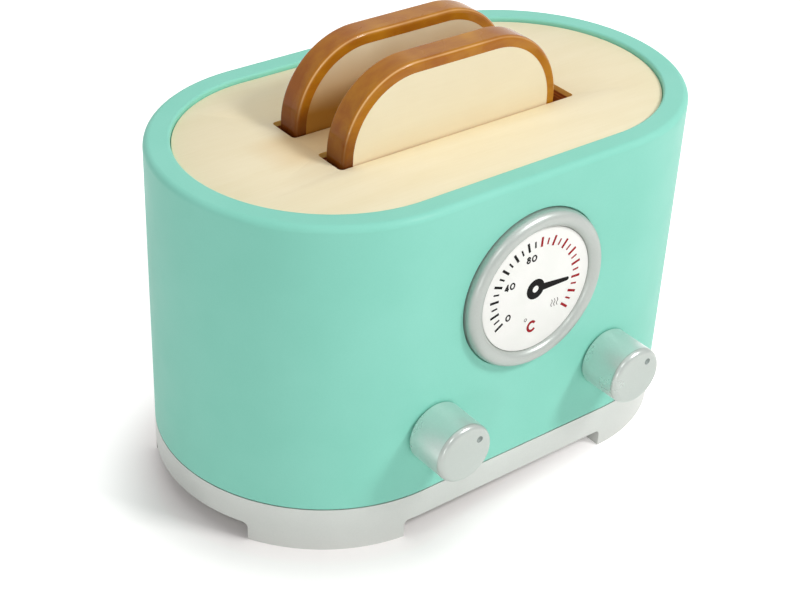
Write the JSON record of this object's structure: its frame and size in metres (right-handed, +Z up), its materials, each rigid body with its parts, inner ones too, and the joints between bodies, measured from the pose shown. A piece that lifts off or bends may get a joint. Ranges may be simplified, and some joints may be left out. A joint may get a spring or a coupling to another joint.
{
  "type": "toy toaster",
  "caption": "Racetrack-shaped wooden toy toaster on a footed plinth, with a round gauge, turning knobs and pop-up slices of toast standing in slots in its top.",
  "frame": {"origin": "centre of the overall bounding box in plan, on the surface that the feet stand on", "axes": "+X along the toaster's length towards the release knob, +Y from the gauge side to the back, +Z up"},
  "size_m": [0.22, 0.1484, 0.168],
  "materials": {
    "mint_paint": "satin mint-green paint on wood",
    "silver_paint": "satin silver-grey paint on wood",
    "pale_wood": "matt clear-lacquered pale maple",
    "silver_ring": "satin silver",
    "dial_print": "matt white board with a printed scale",
    "knob_paint": "satin silver paint",
    "toast_paint": "gloss caramel paint with cream faces",
    "plywood": "bare birch plywood",
    "nylon": "moulded nylon",
    "steel": "zinc-plated steel",
    "spring_steel": "spring steel"
  },
  "bodies": {
    "housing": {"body_shell": "mint_paint", "base_plinth": "silver_paint", "base_screws": "steel", "floor_board": "plywood", "floor_screws": "steel", "top_panel": "pale_wood", "gauge_bezel": "silver_ring", "gauge_dial": "dial_print", "browning_bush": "nylon", "release_bush": "nylon", "guide_rods": "steel", "rod_screws": "steel", "stop_spacers": "nylon", "lift_spring_left": "spring_steel", "lift_spring_right": "spring_steel", "front_guide_board": "plywood", "middle_guide_board": "plywood", "rear_guide_board": "plywood", "latch_bracket": "steel", "latch_pin": "steel", "latch_spring": "spring_steel", "click_spring": "spring_steel"},
    "carriage": {"bread_carriage": "plywood", "carriage_sleeves": "nylon", "carriage_catch": "steel", "catch_screws": "steel"},
    "front_slice": {"front_toast": "toast_paint"},
    "rear_slice": {"rear_toast": "toast_paint"},
    "browning_dial": {"browning_knob": "knob_paint", "browning_shaft": "steel", "browning_shaft_screw": "steel", "click_wheel": "nylon"},
    "release_dial": {"release_knob": "knob_paint", "release_shaft": "steel", "release_shaft_screw": "steel", "release_cam": "nylon"},
    "latch": {"latch_lever": "nylon"}
  },
  "joints": [
    {"name": "carriage_press", "type": "slide", "parent": "housing", "child": "carriage", "axis": [0, 0, 1], "range_m": [-0.028, 0], "stiffness_N_per_m": 110, "springref_m": 0.035, "deforming": ["lift_spring_left", "lift_spring_right"]},
    {"name": "front_slice_lift", "type": "slide", "parent": "carriage", "child": "front_slice", "axis": [0, 0, 1], "range_m": [0, 0.09]},
    {"name": "rear_slice_lift", "type": "slide", "parent": "carriage", "child": "rear_slice", "axis": [0, 0, 1], "range_m": [0, 0.09]},
    {"name": "browning_knob_turn", "type": "hinge", "parent": "housing", "child": "browning_dial", "pos_m": [-0.0418, -0.05575, 0.0455], "axis": [0, 1, 0], "continuous": true},
    {"name": "release_knob_turn", "type": "hinge", "parent": "housing", "child": "release_dial", "pos_m": [0.0418, -0.05575, 0.0455], "axis": [0, 1, 0], "range_deg": [0, 45]},
    {"name": "latch_swing", "type": "hinge", "parent": "housing", "child": "latch", "pos_m": [0.018, -0.03945, 0.027], "axis": [0, 1, 0], "range_deg": [0, 15]}
  ],
  "couplings": [
    {"joint": "latch_swing", "follows": "release_knob_turn", "ratio": 0.33333}
  ]
}
